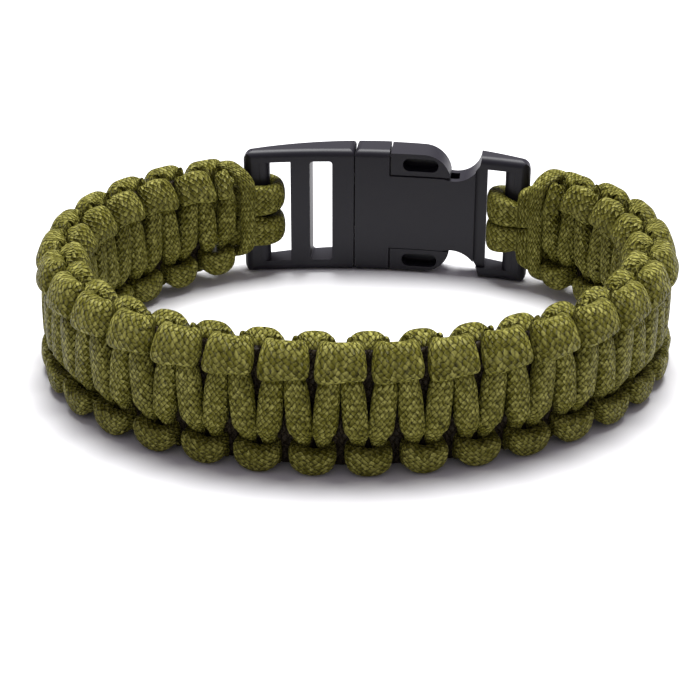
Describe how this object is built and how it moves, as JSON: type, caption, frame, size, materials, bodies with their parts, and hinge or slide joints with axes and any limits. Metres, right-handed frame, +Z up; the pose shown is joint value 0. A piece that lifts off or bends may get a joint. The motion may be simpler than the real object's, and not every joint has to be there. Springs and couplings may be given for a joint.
{
  "type": "paracord bracelet",
  "caption": "Oval bracelet of thick cord knotted into a flat ribbed band, closed by a side release buckle with prongs and slotted ends.",
  "frame": {"origin": "middle of the bracelet's box, on the surface that it lies on", "axes": "+Z up, across the band's height; +X along the buckle from plug to socket; +Y from the front of the band to the buckle"},
  "size_m": [0.0916, 0.0722, 0.0205],
  "materials": {
    "cord": "braided nylon sheath, olive green",
    "buckle": "moulded black plastic, fine matt surface"
  },
  "bodies": {
    "root": {"buckle_plug": "buckle", "buckle_socket": "buckle", "plug_loop_upper": "cord", "plug_loop_lower": "cord", "socket_loop_upper": "cord", "socket_loop_lower": "cord", "woven_band": "cord"}
  },
  "joints": []
}
